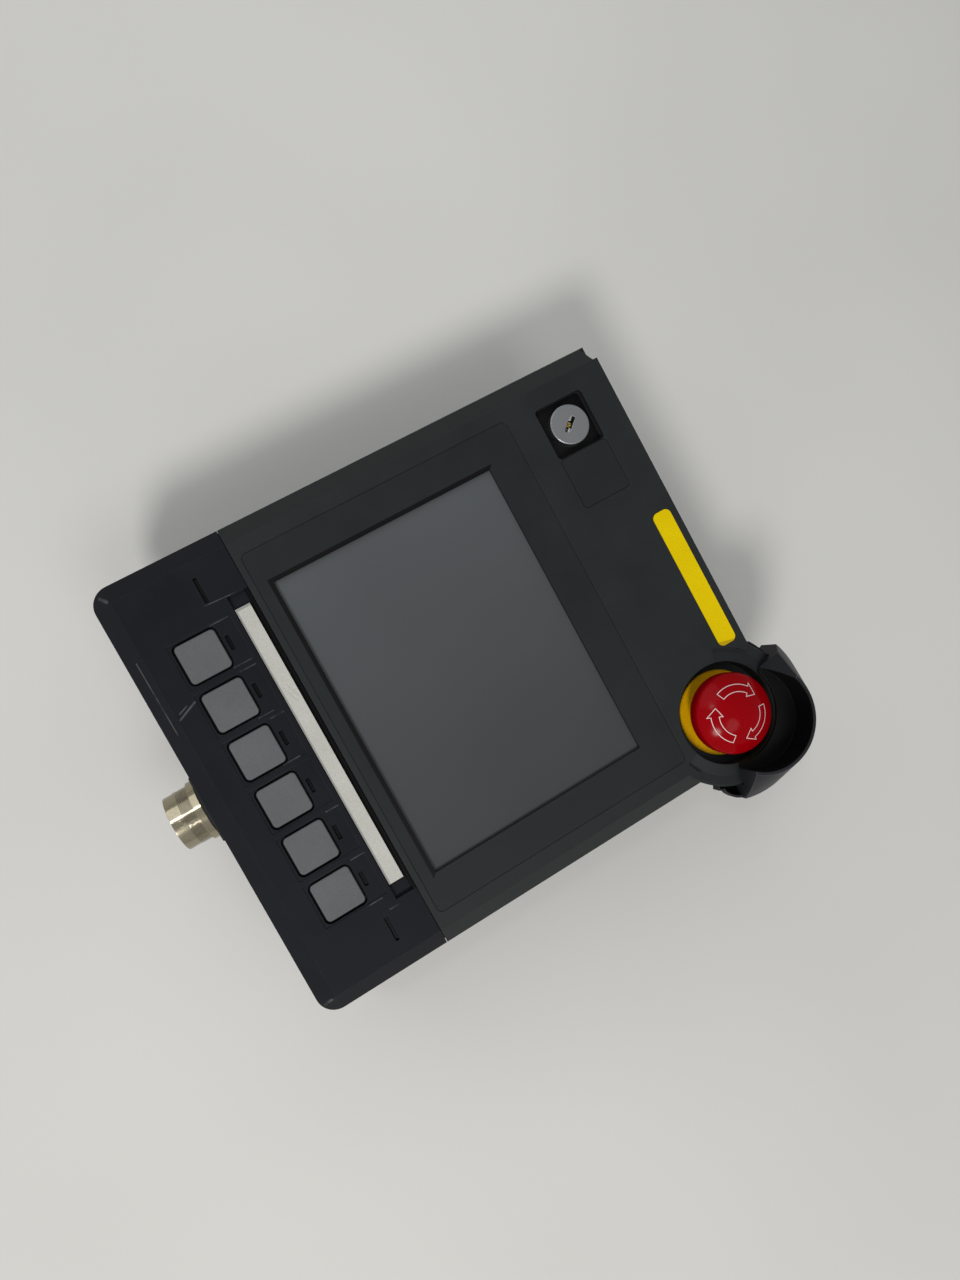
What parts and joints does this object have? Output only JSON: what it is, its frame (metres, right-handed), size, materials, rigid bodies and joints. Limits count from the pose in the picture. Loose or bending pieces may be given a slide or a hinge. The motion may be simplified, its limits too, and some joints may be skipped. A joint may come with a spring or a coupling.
{
  "type": "handheld operator terminal",
  "caption": "Handheld operator terminal: touch screen, function keys, key switch, guarded emergency stop, rear grip lever with hand strap and a round cable connector.",
  "frame": {"origin": "on the rest face under the middle of the screen; the terminal lies on its back", "axes": "+X to the right of the screen, +Y up the screen, +Z out of the screen"},
  "size_m": [0.2069, 0.2609, 0.095],
  "materials": {
    "housing_plastic": "fine matte texture",
    "panel_plastic": "fine matte texture",
    "guard_plastic": "satin",
    "black_plastic": "satin",
    "overlay_film": "matte film",
    "touch_glass": "matte touch film",
    "lcd_dark": "gloss",
    "sheet_steel": "plain",
    "circuit_board": "solder mask",
    "rubber_black": "matte",
    "key_grey": "smooth matte",
    "lamp_window": "translucent",
    "label_white": "paper",
    "lock_silver": "satin",
    "plate_yellow": "satin",
    "collar_yellow": "satin",
    "stop_red": "gloss",
    "connector_nickel": "satin nickel",
    "strap_webbing": "woven",
    "screw_steel": "dark zinc"
  },
  "bodies": {
    "housing": {"backup_battery": "sheet_steel", "blank_plate": "black_plastic", "board_components": "black_plastic", "board_standoffs": "sheet_steel", "chassis_plate": "sheet_steel", "chassis_screws": "screw_steel", "connector_gasket": "rubber_black", "connector_insert": "black_plastic", "connector_nut": "connector_nickel", "connector_shell": "connector_nickel", "display_gasket": "rubber_black", "enable_switch": "black_plastic", "estop_body": "black_plastic", "estop_collar": "collar_yellow", "estop_contact_block": "black_plastic", "estop_guard": "guard_plastic", "estop_lock_nut": "black_plastic", "front_bezel": "housing_plastic", "grip_led": "lamp_window", "grip_pivot_pin": "screw_steel", "hand_strap": "strap_webbing", "housing_gasket": "rubber_black", "key_board": "circuit_board", "key_board_screws": "screw_steel", "key_contact_block": "black_plastic", "key_leds": "lamp_window", "key_panel": "panel_plastic", "key_switch_holder": "black_plastic", "keypad_mat": "rubber_black", "label_strip": "label_white", "lcd_backlight": "black_plastic", "lcd_panel": "lcd_dark", "main_board": "circuit_board", "overlay_sheet": "overlay_film", "power_led": "lamp_window", "rear_cover": "housing_plastic", "rear_screws": "screw_steel", "stop_nameplate": "plate_yellow", "strap_anchors": "black_plastic", "strap_screws": "screw_steel", "touch_panel": "touch_glass"},
    "key_1": {"function_key_1": "key_grey"},
    "key_2": {"function_key_2": "key_grey"},
    "key_3": {"function_key_3": "key_grey"},
    "key_4": {"function_key_4": "key_grey"},
    "key_5": {"function_key_5": "key_grey"},
    "key_6": {"function_key_6": "key_grey"},
    "stop_plunger": {"estop_stem": "black_plastic"},
    "stop_head": {"estop_head": "stop_red"},
    "lock": {"key_cylinder": "lock_silver"},
    "lever": {"grip_lever": "guard_plastic"},
    "plunger": {"enable_plunger": "black_plastic"}
  },
  "joints": [
    {"name": "key_1_press", "type": "slide", "parent": "housing", "child": "key_1", "axis": [0, 0, -1], "range_m": [0, 0.0012], "stiffness_N_per_m": 800},
    {"name": "key_2_press", "type": "slide", "parent": "housing", "child": "key_2", "axis": [0, 0, -1], "range_m": [0, 0.0012], "stiffness_N_per_m": 800},
    {"name": "key_3_press", "type": "slide", "parent": "housing", "child": "key_3", "axis": [0, 0, -1], "range_m": [0, 0.0012], "stiffness_N_per_m": 800},
    {"name": "key_4_press", "type": "slide", "parent": "housing", "child": "key_4", "axis": [0, 0, -1], "range_m": [0, 0.0012], "stiffness_N_per_m": 800},
    {"name": "key_5_press", "type": "slide", "parent": "housing", "child": "key_5", "axis": [0, 0, -1], "range_m": [0, 0.0012], "stiffness_N_per_m": 800},
    {"name": "key_6_press", "type": "slide", "parent": "housing", "child": "key_6", "axis": [0, 0, -1], "range_m": [0, 0.0012], "stiffness_N_per_m": 800},
    {"name": "stop_press", "type": "slide", "parent": "housing", "child": "stop_plunger", "axis": [0, 0, -1], "range_m": [0, 0.003], "stiffness_N_per_m": 1500},
    {"name": "stop_twist", "type": "hinge", "parent": "stop_plunger", "child": "stop_head", "pos_m": [0.0732, 0.0918, 0.086], "axis": [0, 0, -1], "range_deg": [0, 45], "stiffness_Nm_per_rad": 0.05},
    {"name": "key_turn", "type": "hinge", "parent": "housing", "child": "lock", "pos_m": [-0.0676, 0.09, 0.078], "axis": [0, 0, -1], "range_deg": [0, 90]},
    {"name": "grip_squeeze", "type": "hinge", "parent": "housing", "child": "lever", "pos_m": [0.0495, 0, 0.0265], "axis": [0, 1, 0], "range_deg": [0, 7], "stiffness_Nm_per_rad": 3},
    {"name": "plunger_slide", "type": "slide", "parent": "housing", "child": "plunger", "axis": [-1, 0, 0], "range_m": [0, 0.0018]}
  ],
  "couplings": [
    {"joint": "plunger_slide", "follows": "grip_squeeze", "m_per_rad": 0.0135}
  ]
}
